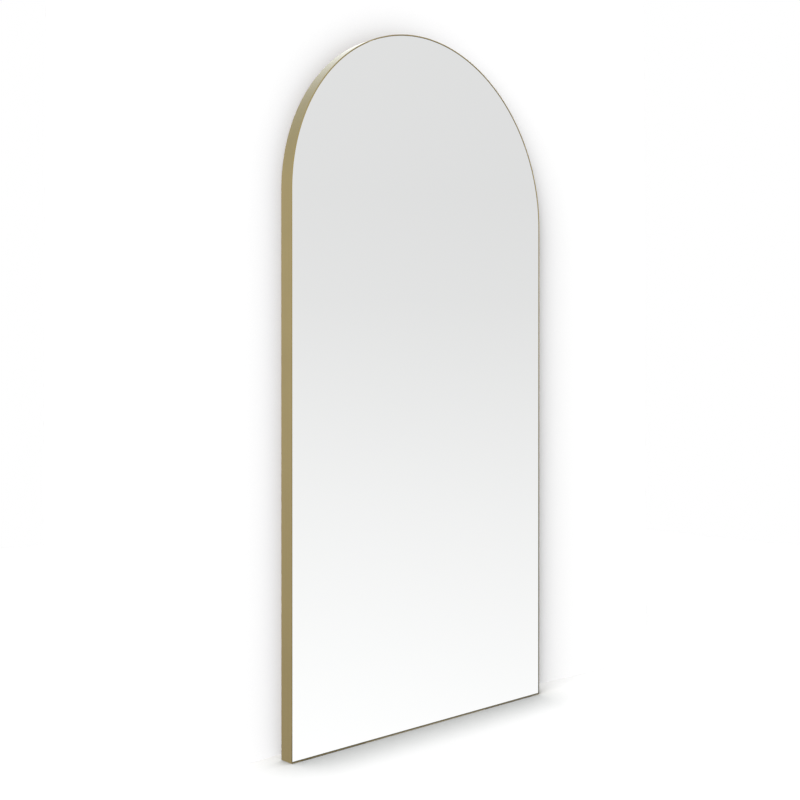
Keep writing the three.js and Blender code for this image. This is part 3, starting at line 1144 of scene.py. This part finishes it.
# Each kind's nodes, shank, head and height of head in millimetres.
SCREWS = {
    "lug": ([f"lug_screw_{index}" for index in range(1, LUGS + 1)], 3.5, 7.0, 2.2),
    "hanger": ([f"hanger_screw_{side}_{index}" for side in SIDES for index in (1, 2)], 4, 8, 2.4),
    "bumper": ([f"bumper_screw_{place}" for place in BUMPERS], 3.0, 6.0, 1.8),
}
HEAD_FIT = 0.995  # the head is a hair narrower than its solid
HEAD_RIM = 0.42  # share of the head's height at which its dome begins
HEAD_CHAMFER = 0.12
HEAD_SEAT = 0.95
SCREW_TURN = 37  # degrees from each screw to the next
SCREW_SIDES = 40
HEAD_SHARES = [0.0, 0.10, 0.16, 0.22, 0.30, 0.38, 0.46, 0.56, 0.68, 0.80, 0.90, 0.97, 1.0]

# The thread, in shares of the shank's diameter.
THREAD_PITCH = 0.42
THREAD_ROOT = 0.38
THREAD_CREST = 0.50
THREAD_END = 0.36
POINT_LENGTH = 0.5

# The cross recess, in shares of the head's radius and, for its depth, of the head's height.
RECESS_ARM = 0.115
RECESS_ARM_SLOPE = 0.035
RECESS_REACH = 0.54
RECESS_REACH_SLOPE = 0.12
RECESS_DEPTH = 0.55

BUMPER_TIP = 8.2 * MM
BUMPER_BORE = 2.0 * MM
BUMPER_SINK = 3.4 * MM
BUMPER_SINK_DEPTH = 4.8 * MM
BUMPER_ROUND = 0.8 * MM
BUMPER_LIP = 0.5 * MM
BUMPER_WAIST = 0.35 * MM
BUMPER_SIDES = 48
BUMPER_WALL_STEPS = 8
BUMPER_ROUND_STEPS = 6


def screw_mesh(name, shank, head, height, length, material):
    """A pan-head screw along y: threaded shank below y = 0, domed head above, cross recess."""
    radius = head / 2
    rim = HEAD_RIM * height

    def dome(share):
        return rim + (height - rim) * math.sqrt(max(0.0, 1 - share**2.6))

    def recess(u, v):
        arm, reach = min(abs(u), abs(v)), max(abs(u), abs(v))
        inside = min(1.0, max(0.0, (RECESS_ARM - arm) / RECESS_ARM_SLOPE))
        ends = min(1.0, max(0.0, (RECESS_REACH - reach) / RECESS_REACH_SLOPE))
        return RECESS_DEPTH * height * inside * ends

    rings = []
    for share in HEAD_SHARES:
        spots = circle(share, 0.0, SCREW_SIDES)
        rings.append([(radius * u, dome(share) - recess(u, v), radius * v) for u, _, v in spots])
    profile = [(radius, HEAD_CHAMFER * height), (HEAD_SEAT * radius, 0.0)]
    pitch = THREAD_PITCH * shank
    turns = int((length - POINT_LENGTH * shank) / pitch)
    for index in range(turns):
        profile.append((THREAD_ROOT * shank, -(index + 0.1) * pitch))
        profile.append((THREAD_CREST * shank, -(index + 0.5) * pitch))
    profile.append((THREAD_END * shank, -turns * pitch))
    profile.append((0.0, -length))
    rings += [circle(place, y, SCREW_SIDES) for place, y in profile]
    return round_mesh(name, rings, material)


def make_screws(material):
    """Every screw, each with its cross recess turned another way."""
    for kind, (nodes, shank, head, height) in SCREWS.items():
        low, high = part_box(nodes[0])
        sizes = shank * MM, head * MM * HEAD_FIT, height * MM, high.y - low.y - height * MM
        mesh = screw_mesh(f"{kind}_screw", *sizes, material)
        for index, node in enumerate(nodes):
            low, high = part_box(node)
            middle = (low + high) / 2
            seat = Matrix.Translation((middle.x, high.y - height * MM, middle.z))
            at = seat @ Matrix.Rotation(math.radians(SCREW_TURN * (index + 1)), 4, "Y")
            add_piece(f"screw_{node}", mesh, "mirror", "screw_steel", node, at=at)


def bumper_profile(foot, length):
    """A bumper's section as (radius, y) points: a tapered wall, rounded tip and sunk hole."""
    profile = [(BUMPER_BORE, 0), (foot - BUMPER_ROUND / 2, 0), (foot, BUMPER_ROUND / 2)]
    rim = length - BUMPER_ROUND
    for step in range(1, BUMPER_WALL_STEPS):
        share = step / BUMPER_WALL_STEPS
        waist = BUMPER_WAIST * math.sin(math.pi * share)
        radius = foot + (BUMPER_TIP - foot) * share - waist
        profile.append((radius, BUMPER_ROUND / 2 + (rim - BUMPER_ROUND / 2) * share))
    tip = (BUMPER_TIP - BUMPER_ROUND, rim)
    lip = (BUMPER_SINK + BUMPER_LIP, length - BUMPER_LIP)
    profile += arc(tip, BUMPER_ROUND, 0, 90, BUMPER_ROUND_STEPS)
    profile += arc(lip, BUMPER_LIP, 90, 180, BUMPER_ROUND_STEPS)
    floor = length - BUMPER_SINK_DEPTH
    return profile + [(BUMPER_SINK, floor), (BUMPER_BORE, floor)]


def make_bumpers(material):
    """Tapered rubber bumpers with a sunk hole for the screw."""
    low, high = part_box("bumper_low_left")
    profile = bumper_profile((high.x - low.x) / 2, high.y - low.y)
    rings = [circle(radius, y, BUMPER_SIDES) for radius, y in profile]
    mesh = round_mesh("bumper", rings, material, closed=True)
    for place in BUMPERS:
        node = f"bumper_{place}"
        middle = node_middle(node)
        at = Matrix.Translation((middle.x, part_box(node)[0].y, middle.z))
        add_piece(f"{node}_rubber", mesh, "mirror", "rubber", node, at=at)


# ---- Build the scene ----

make_camera()
studio_world()
make_key()
make_stage()

brass = brushed_brass()
make_band(brass)
make_bottom_bar(brass)
make_glass(silvered_glass(), glass_edge(), pane_paint())

dress_nodes(woven_film(), "safety_film")
dress_nodes(foam_tape(), *(f"adhesive_strip_{run}" for run in range(1, 5)))
make_board(fibreboard())
upright, level = softwood("pine_upright", "Z"), softwood("pine_level", "X")
for side in SIDES:
    make_block(f"timber_stile_{side}", f"stile_{side}", "timber", upright, TIMBER_EDGE)
for place in ("bottom", "middle", "top"):
    make_block(f"timber_rail_{place}", f"rail_{place}", "timber", level, TIMBER_EDGE)
make_block("timber_crown", "crown_block", "timber", level, CROWN_EDGE)

rubber = black_rubber()
for side in SIDES:
    make_block(f"pad_{side}", f"setting_pad_{side}", "rubber", rubber, PAD_EDGE, 2)
    make_block(f"strip_{side}", f"floor_strip_{side}", "rubber", rubber, PAD_EDGE, 2)
make_bumpers(rubber)

steel = plated_steel("zinc_steel", (0.66, 0.67, 0.68), (0.56, 0.575, 0.59), roughness=0.34)
screw_steel = plated_steel(
    "screw_steel", (0.64, 0.62, 0.56), (0.54, 0.52, 0.46), roughness=0.28
)
make_welds(make_lugs(steel) + make_gussets(steel), weld_steel())
make_hangers(steel)
make_screws(screw_steel)

scene.view_settings.view_transform = "Standard"
